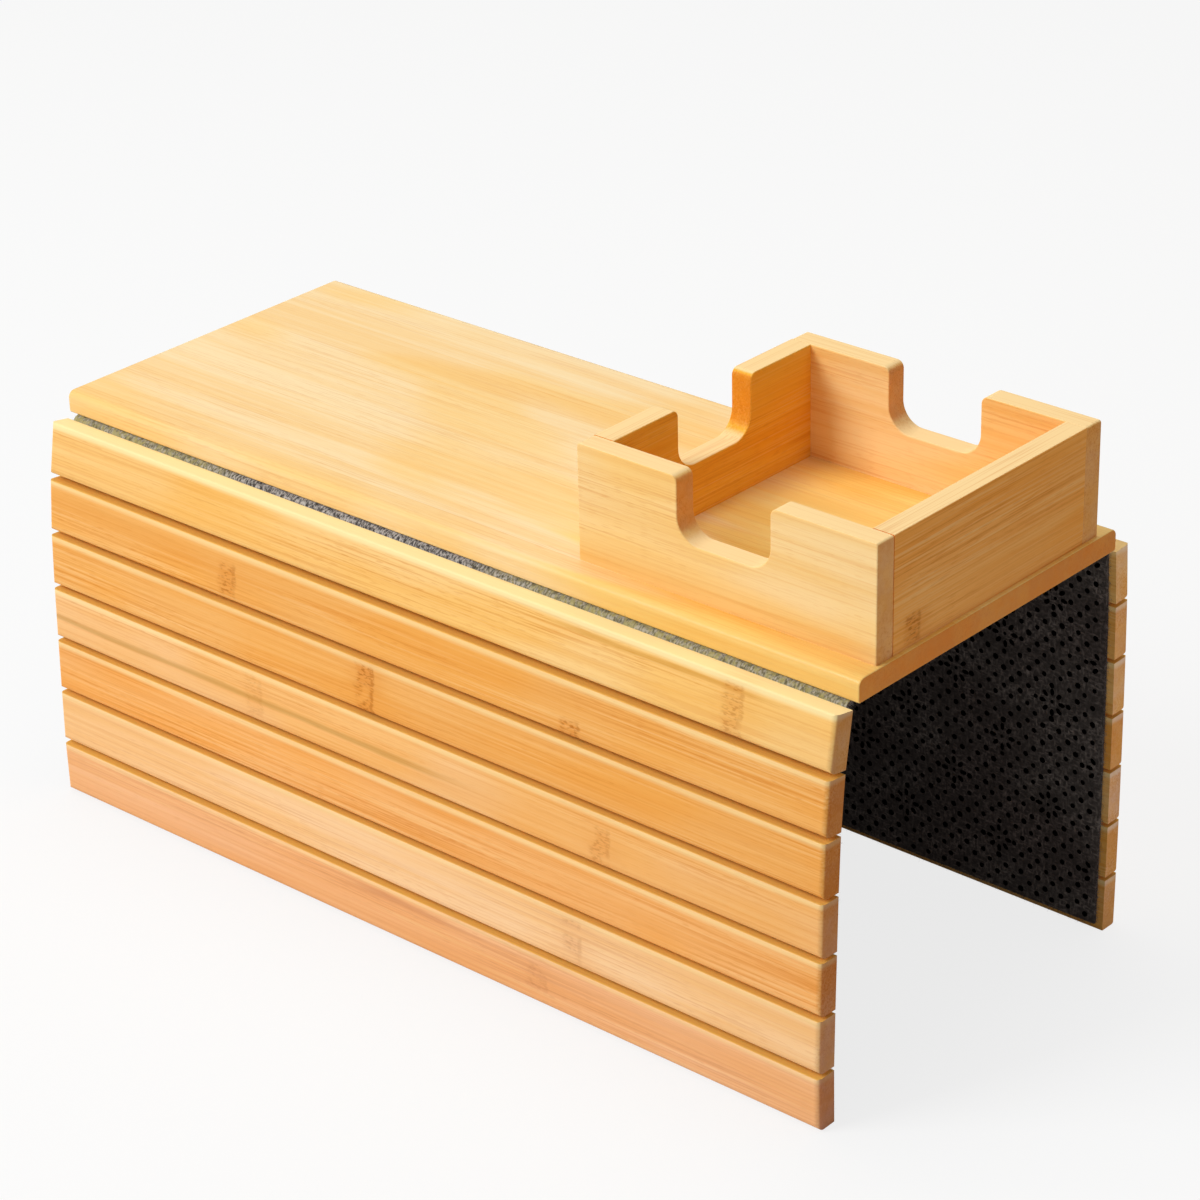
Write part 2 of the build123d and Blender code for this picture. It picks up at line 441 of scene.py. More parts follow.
@dataclass(frozen=True)
class Bamboo:
    """Varnished bamboo whose fibres run one way, with its knuckles and stains.

    arris is the height of a slat's upper outer edge, below which a band is painted paler: a
    painted highlight where the rounded edge catches the light. golden_from is where along the
    fibres the wood turns golden. upward is the colour of faces that look up, and outer_tint
    multiplies the colour of faces that look to -X; both set painted light and shade apart by
    face, the slats' tops in the gaps being painted in shade and the box walls' tops and the left
    wall's outer face keeping the lit colour over walls painted in shade. Each field ending in
    _share says how strongly a mark is laid on.
    """

    name: str
    pale: Colour
    deep: Colour
    seed: float
    grain: Grain = Grain.ALONG_X
    knuckles: tuple[Knuckle, ...] = ()
    streak: Streak | None = None
    strip_width: float = 0.0
    strip_axis: int = 1
    fibre: float = 0.30
    varnish: float = 0.04
    end_grain: Colour = (0.88, 0.62, 0.42)
    arris: float | None = None
    arris_strength: float = 0.50
    golden_from: float | None = None
    upward: Colour | None = None
    outer_tint: Colour | None = None

    golden: Colour = (1.0, 0.92, 0.72)
    fibre_pale: Colour = (1.0, 0.70, 0.34)
    fibre_brown: Colour = (0.66, 0.20, 0.016)
    pit_brown: Colour = (0.40, 0.098, 0.004)
    # the colour of the painted highlight below a slat's arris
    arris_highlight: Colour = (1.0, 0.82, 0.42)
    golden_tint: Colour = (1.0, 0.90, 0.56)
    end_pink: Colour = (0.97, 1.0, 1.22)

    band_contrast: float = 1.5
    streak_contrast: float = 1.3
    strip_contrast: float = 0.45
    calm_share: float = 0.45
    marked_share: float = 0.75
    pale_share: float = 0.7
    pore_share: float = 0.7
    upward_share: float = 0.6
    zone_share: float = 0.30
    band_share: float = 0.30
    pit_share: float = 0.58
    line_share: float = 0.8
    knuckle_wave: float = 3.5 * MM
    arris_wander: float = 1.2 * MM
    arris_fade: Limits = (3.2 * MM, 0.9 * MM)
    golden_wander: float = 160 * MM
    golden_fade: float = 45 * MM
    relief: float = 0.02 * MM
    relief_strength: float = 0.25
    roughness: float = 0.36
    roughness_swing: float = 0.16
    line_roughness: float = 0.06
    varnish_roughness: float = 0.16

    def noise(self, graph: Graph, place: Signal, layer: Layer) -> Signal:
        """The noise of one layer in this wood.

        Args:
            graph: the material's nodes.
            place: the coordinates.
            layer: the layer, whose blotches are turned to lie along the fibres.

        Returns:
            The noise, from 0 to 1 and about 0.5 in the middle.
        """
        size = [layer.width] * 3
        size[self.grain.value] = layer.length
        return graph.noise(place, size, self.seed + layer.shift, layer.detail)

    def noise_along_x(self, graph: Graph, place: Signal, layer: Layer) -> Signal:
        """The noise of one layer whose blotches are long along X, whatever the fibres do.

        Args:
            graph: the material's nodes.
            place: the coordinates.
            layer: the layer.

        Returns:
            The noise, from 0 to 1 and about 0.5 in the middle.
        """
        size = (layer.length, layer.width, layer.width)
        return graph.noise(place, size, self.seed + layer.shift, layer.detail)

    def with_knuckles(
        self,
        graph: Graph,
        place: Signal,
        axes: Signal,
        streaks: Signal,
        edge: Signal | float,
        colour: Signal,
    ) -> Signal:
        """Lays the knuckles over a colour: the warm zone first, then the band and its pits.

        Args:
            graph: the material's nodes.
            place: the coordinates.
            axes: their three parts.
            streaks: the noise of the streaks, which breaks up the warm zone.
            edge: the mask of the painted highlight below the arris, where band and line fade, or 0
                without one.
            colour: the colour so far.

        Returns:
            The colour with its knuckles.
        """
        wave = self.noise_along_x(graph, place, KNUCKLE_WAVE).swing(self.knuckle_wave)
        along = axes.output(self.grain.value) + wave
        masks = [knuckle.masks(along, axes.output(UP_AXIS)) for knuckle in self.knuckles]
        zone, band, line = (reduce(Signal.at_least, parts) for parts in zip(*masks))
        band, line = band * (1.0 - edge), line * (1.0 - edge)
        pits = self.noise(graph, place, PITS)
        gaps = PIT_GAPS.mask(self.noise_along_x(graph, place, PIT_GAPS))
        line_pits = line * LINE_PITS.mask(pits) * self.line_share
        speckle = (PITS.mask(pits) * band).at_least(line_pits) * gaps
        warm = zone * STREAKS.mask(streaks) * self.zone_share
        colour = graph.mix(warm, colour, self.fibre_brown)
        colour = graph.mix(band * gaps * self.band_share, colour, self.fibre_brown)
        return graph.mix(speckle * self.pit_share, colour, self.pit_brown)

    def with_faces(self, graph: Graph, place: Signal, lines: Signal, colour: Signal) -> Signal:
        """Gives the faces that look up, to -X and along the fibres their own colours.

        Args:
            graph: the material's nodes.
            place: the coordinates.
            lines: the mask of the fine lines on faces that look up.
            colour: the colour of the other faces.

        Returns:
            The colour of all faces.
        """
        facing = graph.split(graph.node("ShaderNodeTexCoord", output="Normal"))
        # faces that look up get their own colour: the lit colour on the box walls' tops, over sides
        # painted in shade, and painted shade on the slats' tops seen in the gaps
        if self.upward:
            top = graph.mix(lines * self.upward_share, self.upward, self.fibre_brown)
            colour = graph.mix(facing.output(UP_AXIS).rise(*FACING), colour, top)
        # faces that look to -X: the left wall's outer face, lifted out of its painted shade to the
        # lit colour
        if self.outer_tint:
            outer = (facing.output(0) * -1.0).rise(*FACING)
            colour = graph.mix(outer, colour, self.outer_tint, Blend.MULTIPLY)
        ends = abs(facing.output(self.grain.value)).rise(*FACING)
        blotches = END_BLOTCHES.mask(self.noise(graph, place, END_BLOTCHES))
        end_tint = graph.mix(blotches, self.end_grain, self.end_pink, Blend.MULTIPLY)
        return graph.mix(ends, colour, end_tint, Blend.MULTIPLY)

    def build(self) -> bpy.types.Material:
        """Builds the material.

        Colour: deep and pale bamboo are mixed by broad bands and by streaks, both long along
        the fibres; fine lines and short pores darken it. Height: the same lines, a little low.

        Returns:
            The material.
        """
        material = bpy.data.materials.new(self.name)
        graph = Graph(material)
        place = graph.node("ShaderNodeTexCoord", output="Object")
        axes = graph.split(place)
        along = axes.output(self.grain.value)
        bands = self.noise(graph, place, BANDS)
        streaks = self.noise(graph, place, STREAKS)
        lines = self.noise(graph, place, FIBRE_LINES)
        marked = MARKED.mask(self.noise(graph, place, MARKED))
        fibre = (self.calm_share + marked * self.marked_share) * self.fibre

        tone = 0.5 + bands.swing(self.band_contrast) + streaks.swing(self.streak_contrast)
        if self.strip_width:
            number = (axes.output(self.strip_axis) * (1 / self.strip_width) + self.seed).floor()
            settings = {"noise_dimensions": "1D"}
            shade = graph.node("ShaderNodeTexWhiteNoise", settings, {"W": number})
            tone = tone + shade.swing(self.strip_contrast)
        colour = graph.mix(tone.rise(0.0, 1.0), self.deep, self.pale)
        patches = PATCHES.mask(self.noise(graph, place, PATCHES))
        colour = graph.mix(patches, colour, self.golden, Blend.MULTIPLY)
        dark_lines = FIBRE_LINES.mask(lines)
        colour = graph.mix(dark_lines * fibre, colour, self.fibre_brown)
        pale_lines = (1.0 - PALE_LINES.mask(lines)) * fibre * self.pale_share
        colour = graph.mix(pale_lines, colour, self.fibre_pale)
        pores = PORES.mask(self.noise(graph, place, PORES))
        colour = graph.mix(pores * fibre * self.pore_share, colour, self.fibre_brown)
        height = 1.0 - dark_lines * 0.5 - pores * 0.5

        if self.streak:
            wander = self.noise(graph, place, STAIN_WANDER).swing(self.streak.wander)
            stain = self.streak.mask(along, axes.output(UP_AXIS) + wander)
            colour = graph.mix(stain, colour, self.streak.colour)
        edge: Signal | float = 0.0
        # painted highlight: a paler band below the arris, where the rounded upper edge catches the
        # light
        if self.arris is not None:
            wander = self.noise(graph, place, ARRIS_WANDER).swing(self.arris_wander)
            below, full = self.arris_fade
            edge = (axes.output(UP_AXIS) + wander).rise(self.arris - below, self.arris - full)
            colour = graph.mix(edge * self.arris_strength, colour, self.arris_highlight)
        if self.knuckles:
            colour = self.with_knuckles(graph, place, axes, streaks, edge, colour)
        if self.golden_from is not None:
            turned = along + bands.swing(self.golden_wander)
            turned = turned.rise(self.golden_from, self.golden_from + self.golden_fade)
            colour = graph.mix(turned, colour, self.golden_tint, Blend.MULTIPLY)
        colour = self.with_faces(graph, place, dark_lines * fibre, colour)

        roughness = self.roughness + streaks.swing(self.roughness_swing)
        graph.surface(
            {
                "Base Color": colour,
                "Roughness": roughness + dark_lines * self.line_roughness,
                "Normal": graph.bump(height, self.relief, self.relief_strength),
                "Specular IOR Level": 0.0,
                "Coat Weight": self.varnish,
                "Coat Roughness": self.varnish_roughness,
            }
        )
        return material


@dataclass(frozen=True)
class Felt:
    """Needled charcoal felt, paler and stained with glue on the side that is stuck down.

    The cells are the sizes of the blotches of its noises. glued_left and glued_right are where
    along the tray the glue fades out and in again, by glue_wander more or less, and stuck_side
    is the height over the felt's middle at which the stuck side starts.
    """

    name: str = "charcoal_felt"
    dark: Colour = (0.050, 0.040, 0.035)
    fibre: Colour = (0.270, 0.225, 0.200)
    shade: Colour = (0.74, 0.68, 0.68)
    back_dark: Colour = (0.038, 0.035, 0.036)
    back_pale: Colour = (0.46, 0.44, 0.43)
    glue: Colour = (0.38, 0.34, 0.13)

    tuft_cell: Point = (14 * MM, 9 * MM, 9 * MM)
    hair_cell: Point = (2.6 * MM, 1.1 * MM, 1 * MM)
    cross_hair_cell: Point = (1.2 * MM, 2.8 * MM, 1 * MM)
    worn_cell: Point = (70 * MM, 45 * MM, 45 * MM)
    mottle_cell: Point = (0.8 * MM, 1.3 * MM, 1 * MM)
    glue_cell: Point = (40 * MM, 40 * MM, 40 * MM)
    blot_cell: Point = (1.6 * MM, 2.4 * MM, 2 * MM)
    glue_wander: float = 90 * MM
    glued_left: Limits = (-130 * MM, -95 * MM)
    glued_right: Limits = (20 * MM, 60 * MM)
    stuck_side: Limits = (0.60 * MM, 0.72 * MM)
    roughness: float = 0.90
    relief: float = 0.5 * MM
    relief_strength: float = 0.6
    roughness_swing: float = 0.15
    even_hairs: float = 0.30
    tuft_hairs: float = 0.70
    glue_film: float = 0.30
    glue_blots: float = 0.50

    def build(self) -> bpy.types.Material:
        """Builds the material from the sheet's own coordinates: along, down and through it.

        Colour: on the open side hairs both ways are paler than the ground, more so in tufts,
        and worn places are darker. On the stuck side a mottle has blots of glue where glued.

        Returns:
            The material.
        """
        material = bpy.data.materials.new(self.name)
        graph = Graph(material)
        settings = {"attribute_name": "sheet_place"}
        place = graph.node("ShaderNodeAttribute", settings, output="Vector")
        axes = graph.split(place)

        tufts = graph.noise(place, self.tuft_cell, 1.0, 3.0).rise(0.30, 0.70)
        hairs = graph.noise(place, self.hair_cell, 2.0, 3.0)
        cross_hairs = graph.noise(place, self.cross_hair_cell, 3.0, 3.0)
        heather = hairs.at_least(cross_hairs).rise(0.44, 0.78)
        shown = self.even_hairs + tufts * self.tuft_hairs
        front = graph.mix(heather * shown, self.dark, self.fibre)
        worn = graph.noise(place, self.worn_cell, 7.0).rise(0.34, 0.62)
        front = graph.mix(worn, front, self.shade, Blend.MULTIPLY)

        mottle = graph.noise(place, self.mottle_cell, 4.0, 3.0).rise(0.36, 0.66)
        back = graph.mix(mottle, self.back_dark, self.back_pale)
        wander = graph.noise(place, self.glue_cell, 5.5).swing(self.glue_wander)
        along = axes.output(0) + wander
        glued = (1.0 - along.rise(*self.glued_left)).at_least(along.rise(*self.glued_right))
        blots = graph.noise(place, self.blot_cell, 6.0, 3.0).rise(0.44, 0.60)
        film = self.glue_film + blots * self.glue_blots
        back = graph.mix(glued * film, back, self.glue)
        colour = graph.mix(axes.output(2).rise(*self.stuck_side), front, back)

        relief = hairs * 0.5 + cross_hairs * 0.5
        graph.surface(
            {
                "Base Color": colour,
                "Roughness": self.roughness + hairs.swing(self.roughness_swing),
                "Normal": graph.bump(relief, self.relief, self.relief_strength),
                "Specular IOR Level": 0.10,
                "Sheen Weight": 0.03,
                "Sheen Roughness": 0.6,
            }
        )
        return material


@dataclass(frozen=True)
class Speckled:
    """A plain stuff with a fine mottle: the rubbery print, loose felt hairs, zinc and bare wood."""

    name: str
    dark: Colour
    pale: Colour
    cell: Point
    roughness: float
    metallic: float = 0.0
    gloss: float = 0.5
    relief: float = 0.1

    def build(self) -> bpy.types.Material:
        """Builds the material: two colours and the roughness follow one noise.

        Returns:
            The material.
        """
        material = bpy.data.materials.new(self.name)
        graph = Graph(material)
        place = graph.node("ShaderNodeTexCoord", output="Object")
        mottle = graph.noise(place, self.cell, 2.0, 3.0)
        graph.surface(
            {
                "Base Color": graph.mix(mottle.rise(0.3, 0.7), self.dark, self.pale),
                "Roughness": self.roughness + mottle.swing(0.3),
                "Metallic": self.metallic,
                "Normal": graph.bump(mottle, 0.1 * MM, self.relief),
                "Specular IOR Level": self.gloss,
            }
        )
        return material


def dress(node: str, material: bpy.types.Material) -> None:
    """Gives a CAD node its material.

    Args:
        node: the node's name.
        material: the finish.
    """
    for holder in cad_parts[node].material_slots:
        holder.material = material
    log.info("dressed %s with %s", node, material.name)


# Surfaces

SHARP_ANGLE = math.radians(50)


def closed_piece(
    name: str,
    vertices: np.ndarray,
    faces: list[list[int]],
    material: bpy.types.Material,
    place: np.ndarray | None = None,
) -> bpy.types.Object:
    """Makes one object of closed shells, with their faces turned outwards.

    Args:
        name: the piece's name.
        vertices: their points, one row each.
        faces: their corners.
        material: the finish.
        place: each vertex's own coordinates on the sheet, where the finish reads them.

    Returns:
        The object, at the origin.
    """
    mesh = bpy.data.meshes.new(name)
    mesh.from_pydata(vertices.tolist(), [], faces)
    shells = bmesh.new()
    shells.from_mesh(mesh)
    bmesh.ops.recalc_face_normals(shells, faces=shells.faces)
    shells.to_mesh(mesh)
    shells.free()
    mesh.polygons.foreach_set("use_smooth", np.ones(len(mesh.polygons), dtype=bool))
    mesh.set_sharp_from_angle(angle=SHARP_ANGLE)
    if place is not None:
        layer = mesh.attributes.new("sheet_place", "FLOAT_VECTOR", "POINT")
        layer.data.foreach_set("vector", place.astype(np.float32).ravel())
    mesh.materials.append(material)
    piece = bpy.data.objects.new(name, mesh)
    bpy.context.scene.collection.objects.link(piece)
    log.info("made %s: %d faces", name, len(mesh.polygons))
    return piece


def copies(faces: list[list[int]], count: int, size: int) -> list[list[int]]:
    """The faces of a shape repeated, each copy's corners numbered after the last one's.

    Args:
        faces: the corners of the first copy.
        count: how many copies.
        size: how many vertices each has.

    Returns:
        The faces of all copies.
    """
    return [[corner + size * n for corner in face] for n in range(count) for face in faces]


@dataclass(frozen=True)
class FeltSection:
    """A stretch of the felt that goes round one bend.

    start, bend and end are points (y, z) of the felt's middle, sign is the side's, reach is how
    far the rounding goes from the bend, and first is start's distance from the board's middle.
    curve_points is how many points the rounding has, and overrun is how far the felt's line is
    known beyond both ends.
    """

    start: np.ndarray
    bend: np.ndarray
    end: np.ndarray
    sign: int
    reach: float
    first: float
    curve_points: int = 13
    overrun: float = 4 * MM

    def legs(self) -> tuple[np.ndarray, np.ndarray]:
        """The two straight legs of the section.

        Returns:
            The directions before and after the bend.
        """
        before = self.bend - self.start
        after = self.end - self.bend
        return before / np.linalg.norm(before), after / np.linalg.norm(after)

    def turning(self) -> tuple[np.ndarray, np.ndarray]:
        """Where the rounding starts and ends."""
        before, after = self.legs()
        return self.bend - self.reach * before, self.bend + self.reach * after

    def line(self) -> tuple[np.ndarray, np.ndarray, np.ndarray]:
        """Points along the middle of the felt.

        Two straight legs and between them a parabola: the curve that leaves each leg where the
        rounding starts and ends, point = (1-u)^2 A + 2u(1-u) B + u^2 C for u from 0 to 1. Both
        legs are carried on by overrun.

        Returns:
            The distances along the felt, the points and the outward normals.
        """
        before, after = self.legs()
        left, right = self.turning()
        u = np.linspace(0, 1, self.curve_points)[:, None]
        curve = (1 - u) ** 2 * left + 2 * u * (1 - u) * self.bend + u**2 * right
        slope = (1 - u) * before + u * after
        above = self.start - self.overrun * before
        below = self.end + self.overrun * after
        points = np.vstack([above, self.start, curve, self.end, below])
        slopes = np.vstack([before, before, slope, after, after])
        slopes /= np.linalg.norm(slopes, axis=1)[:, None]
        steps = np.linalg.norm(np.diff(points, axis=0), axis=1)
        run = self.first - self.overrun + np.concatenate([[0.0], np.cumsum(steps)])
        normals = self.sign * np.stack([-slopes[:, 1], slopes[:, 0]], axis=1)
        return run, points, normals

    def span(self) -> tuple[float, float]:
        """The distances along the felt at which the section starts and ends."""
        run = self.line()[0]
        return float(run[1]), float(run[-2])

    def put(self, x: np.ndarray, run: np.ndarray, height: np.ndarray) -> np.ndarray:
        """Carries points from the flat sheet onto the bent one.

        Args:
            x: along the tray.
            run: distance along the felt from the board's middle.
            height: distance from the felt's middle, outwards.

        Returns:
            One row (x, y, z) for each point.
        """
        runs, points, normals = self.line()
        y = np.interp(run, runs, points[:, 0]) + height * np.interp(run, runs, normals[:, 0])
        z = np.interp(run, runs, points[:, 1]) + height * np.interp(run, runs, normals[:, 1])
        return np.stack([np.broadcast_to(x, y.shape), y, z], axis=-1)


@dataclass(frozen=True)
class NonSlipPrint:
    """The raised print on the felt: rows of dots, staggered, with eight-petalled rosettes.

    Dots nearer a rosette's middle than clearing are left out, but for the one in its middle,
    which is middle_size of a dot. origin is a rosette's middle, lattice_cover makes the lattice
    larger than the sheet before it is cut, and margin is kept free along the sheet's edges. A
    mark is a dome with a shoulder at shoulder of its radius and shoulder_height of its height;
    its foot goes foot_depth of its height into the felt.
    """

    pitch: float = 7.5 * MM
    jitter: float = 0.35 * MM
    dot_radius: float = 1.25 * MM
    size_spread: Limits = (0.85, 1.15)
    middle_size: float = 0.6
    rise: float = 0.30 * MM
    rosette_pitch: float = 45 * MM
    rosette_radius: float = 4.4 * MM
    petals: int = 8
    petal_length: float = 1.7 * MM
    petal_width: float = 1.05 * MM
    petal_jitter: float = 0.1
    clearing: float = 6.4 * MM
    origin: tuple[float, float] = (150 * MM, 172.9 * MM)
    lattice_cover: float = 4.5
    margin: float = 2 * MM
    facets: int = 8
    shoulder: float = 0.72
    shoulder_height: float = 0.75
    foot_depth: float = 0.2
    seed: int = 11

    def lattice(self, pitch: float, half_x: float, half_run: float) -> np.ndarray:
        """The corners and the middles of square cells, as far as they lie in a rectangle.

        Args:
            pitch: the cell's side.
            half_x: half the rectangle's length.
            half_run: half its width.

        Returns:
            One row (x, run) for each point.
        """
        count = int(self.lattice_cover * max(half_x, half_run) / pitch)
        i, j = np.meshgrid(np.arange(-count, count + 1), np.arange(-count, count + 1))
        even = (i + j) % 2 == 0
        flat = np.stack([i[even], j[even]], axis=-1) * pitch / 2 + self.origin
        inside = (np.abs(flat[:, 0]) < half_x) & (np.abs(flat[:, 1]) < half_run)
        return flat[inside]

    def marks(self, half_x: float, half_run: float) -> np.ndarray:
        """Every mark of the print.

        Args:
            half_x: half the sheet's length.
            half_run: half its width.

        Returns:
            One row for each mark: x, run, its two radii and the turn of the first.
        """
        rng = np.random.default_rng(self.seed)
        centres = self.lattice(self.rosette_pitch, half_x, half_run)
        dots = self.lattice(self.pitch, half_x, half_run)
        gap = np.linalg.norm(dots[:, None] - centres[None], axis=2).min(axis=1)
        middle = gap < self.pitch / 4
        dots = dots + rng.uniform(-self.jitter, self.jitter, dots.shape)
        sizes = self.dot_radius * rng.uniform(*self.size_spread, (len(dots), 1))
        sizes[middle] *= self.middle_size
        round_marks = np.hstack([dots, sizes, sizes, np.zeros((len(dots), 1))])
        round_marks = round_marks[middle | (gap > self.clearing)]

        turn = rng.uniform(-self.petal_jitter, self.petal_jitter, (len(centres), 1))
        turn = turn + np.arange(self.petals) * 2 * math.pi / self.petals
        spokes = np.stack([np.cos(turn), np.sin(turn)], axis=-1) * self.rosette_radius
        petals = (centres[:, None] + spokes).reshape(-1, 2)
        radii = np.tile([self.petal_length, self.petal_width], (len(petals), 1))
        petals = np.hstack([petals, radii, turn.reshape(-1, 1)])
        marks = np.vstack([round_marks, petals])
        inner = [half_x - self.margin, half_run - self.margin]
        return marks[(np.abs(marks[:, :2]) < inner).all(axis=1)]

    def build(
        self,
        name: str,
        section: FeltSection,
        marks: np.ndarray,
        face: float,
        finish: bpy.types.Material,
    ) -> bpy.types.Object:
        """Raises marks on the inner face of a section.

        Each mark is a low dome over an ellipse: a top point, a ring of points at the shoulder
        and one at the full radii a little below the felt's face, closed underneath.

        Args:
            name: the piece's name.
            section: the stretch of felt.
            marks: the rows of marks() that belong to it, with run measured as the section's is.
            face: the distance from the felt's middle to its inner face.
            finish: the print's material.

        Returns:
            The piece.
        """
        angle = np.arange(self.facets) * 2 * math.pi / self.facets
        ring = np.stack([np.cos(angle), np.sin(angle)], axis=-1)
        shape = np.vstack([[[0.0, 0.0]], ring * self.shoulder, ring])
        shoulder = np.full(self.facets, self.shoulder_height)
        foot = np.full(self.facets, -self.foot_depth)
        lift = np.concatenate([[1.0], shoulder, foot])
        local = shape[None] * marks[:, None, 2:4]
        cos, sin = np.cos(marks[:, 4])[:, None], np.sin(marks[:, 4])[:, None]
        x = marks[:, 0, None] + local[..., 0] * cos - local[..., 1] * sin
        run = marks[:, 1, None] + local[..., 0] * sin + local[..., 1] * cos
        height = np.broadcast_to(-face - lift * self.rise, x.shape)
        vertices = section.put(x, run, height).reshape(-1, 3)

        n = self.facets
        after = [(k + 1) % n for k in range(n)]
        faces = [[0, 1 + k, 1 + after[k]] for k in range(n)]
        faces += [[1 + k, 1 + n + k, 1 + n + after[k], 1 + after[k]] for k in range(n)]
        faces.append([1 + n + k for k in range(n)])
        return closed_piece(name, vertices, copies(faces, len(marks), len(shape)), finish)


@dataclass(frozen=True)
class LooseHairs:
    """Hairs that stand out of the felt along its cut edges and in the open corner gap.

    spread is how far they stray from their way and curl how far their tips do, as a share of
    their length. Each is bent at knee_at of its length, where it is knee_size as thick. sunk
    is how deep the roots are in the felt, and lean how far the hairs point inwards. hem_share
    and corner_share say how dense they are there, against the cut ends.
    """

    per_metre: float = 5200.0
    shortest: float = 0.5 * MM
    longest: float = 2.4 * MM
    radius: float = 0.045 * MM
    spread: float = 0.32
    curl: float = 0.30
    knee_at: float = 0.55
    knee_size: float = 0.7
    sunk: float = 0.1 * MM
    lean: float = 0.25
    hem_share: float = 0.7
    corner_share: float = 0.5

    def build(
        self,
        name: str,
        section: FeltSection,
        roots: np.ndarray,
        heading: np.ndarray,
        seed: int,
        finish: bpy.types.Material,
    ) -> bpy.types.Object:
        """Grows hairs: each is a three-sided spike with one bend, from root along heading.

        Args:
            name: the piece's name.
            section: the stretch of felt.
            roots: one row (x, run, height) for each hair.
            heading: the way each hair points; the longer it is, the less the hair strays.
            seed: of the random turns.
            finish: the hairs' material.

        Returns:
            The piece.
        """
        rng = np.random.default_rng(seed)
        count = len(roots)
        length = rng.uniform(self.shortest, self.longest, (count, 1))
        way = heading + rng.normal(0, self.spread, (count, 3))
        way /= np.linalg.norm(way, axis=1)[:, None]
        curl = rng.normal(0, self.curl, (count, 3)) * length
        side = np.cross(way, rng.normal(0, 1, (count, 3)))
        side /= np.linalg.norm(side, axis=1)[:, None]
        other = np.cross(way, side)
        angle = np.arange(3) * 2 * math.pi / 3
        rim = np.cos(angle)[:, None] * side[:, None] + np.sin(angle)[:, None] * other[:, None]
        base = roots[:, None] + rim * self.radius
        knee = (roots + self.knee_at * length * way)[:, None] + rim * self.radius * self.knee_size
        tip = (roots + length * way + curl)[:, None]
        spikes = np.concatenate([base, knee, tip], axis=1)
        local = spikes.reshape(-1, 3)
        vertices = section.put(local[:, 0], local[:, 1], local[:, 2])
        faces = [[2, 1, 0], [0, 1, 4, 3], [1, 2, 5, 4], [2, 0, 3, 5]]
        faces += [[3, 4, 6], [4, 5, 6], [5, 3, 6]]
        return closed_piece(name, vertices, copies(faces, count, spikes.shape[1]), finish)


# Sub-assemblies

DEEPER: Colour = (0.94, 0.83, 0.66)
TOP_SEED = 100
FLAP_SEED = 200
SECTION_SEED = 20


def deeper(pale: Colour) -> Colour:
    """A bamboo colour with a little less red, less green and a third less blue."""
    return tuple(part * share for part, share in zip(pale, DEEPER))


@dataclass(frozen=True)
class TopBoard:
    """The stiff board, laminated from strips that run along it."""

    strip_width: float = 22 * MM

    def dress(self) -> None:
        """Gives the board its finish."""
        finish = Bamboo(
            name="board_bamboo",
            pale=(0.95, 0.73, 0.41),
            deep=(0.93, 0.63, 0.28),
            seed=3.0,
            strip_width=self.strip_width,
            fibre=0.14,
            varnish=0.22,
            end_grain=(0.84, 0.45, 0.17),
            golden_from=50 * MM,
        )
        dress("top_board", finish.build())


@dataclass(frozen=True)
class CupBox:
    """The box for a cup: four walls, their screws and their dowels."""

    strip_height: float = 17 * MM
    face_pale: Colour = (0.98, 0.70, 0.34)
    # the right wall: painted shade, deeper and more saturated than the lit front, for the side away
    # from the lamps
    shaded_side_pale: Colour = (0.97, 0.45, 0.118)
    # the left wall: painted shade of the box's inside, seen on its inner face
    shaded_inner_pale: Colour = (0.97, 0.53, 0.070)
    # lifts the left wall's outer face out of its painted shade to the lit colour
    left_outer_lit_tint: Colour = (1.0, 1.32, 4.6)
    face_fibre: float = 0.24
    side_fibre: float = 0.42

    def wall_finish(
        self, name: str, pale: Colour, seed: float, grain: Grain, **marks: Any
    ) -> Bamboo:
        """The finish of one wall.

        Args:
            name: the material's name.
            pale: its lighter colour.
            seed: of its pattern.
            grain: which way its fibres run.
            marks: its knuckles, how strong its lines are and its outer face's tint, which gives
                that face the lit colour over the painted shade.

        Returns:
            The finish, with a deeper colour worked out from the lighter one.
        """
        return Bamboo(
            name=name,
            pale=pale,
            deep=deeper(pale),
            seed=seed,
            grain=grain,
            strip_width=self.strip_height,
            strip_axis=2,
            # wall tops keep the lit colour of the front, over sides painted in shade
            upward=self.face_pale,
            **marks,
        )

    def dress(self) -> None:
        """Gives the walls, the screws and the dowels their finishes."""
        knuckle = Knuckle(-43.5 * MM, 12 * MM, 23 * MM)
        along, across = Grain.ALONG_X, Grain.ALONG_Y
        walls = {
            "box_front_wall": self.wall_finish(
                "box_front_bamboo", self.face_pale, 5.0, along, fibre=self.face_fibre
            ),
            "box_rear_wall": self.wall_finish(
                "box_rear_bamboo", self.face_pale, 6.2, along, fibre=self.face_fibre
            ),
            "box_left_wall": self.wall_finish(
                "box_left_bamboo", self.shaded_inner_pale, 7.4, across, outer_tint=self.left_outer_lit_tint
            ),
            "box_right_wall": self.wall_finish(
                "box_right_bamboo",
                self.shaded_side_pale,
                8.6,
                across,
                fibre=self.side_fibre,
                knuckles=(knuckle,),
            ),
        }
        for node, finish in walls.items():
            dress(node, finish.build())
        zinc = Speckled(
            name="zinc_plate",
            dark=(0.55, 0.55, 0.53),
            pale=(0.74, 0.74, 0.72),
            cell=(2 * MM, 2 * MM, 2 * MM),
            roughness=0.35,
            metallic=1.0,
        )
        dress("box_screws", zinc.build())
        bare = Speckled(
            name="bare_dowel",
            dark=(0.62, 0.44, 0.24),
            pale=(0.76, 0.60, 0.38),
            cell=(0.6 * MM, 5 * MM, 0.6 * MM),
            roughness=0.7,
        )
        dress("box_corner_dowels", bare.build())


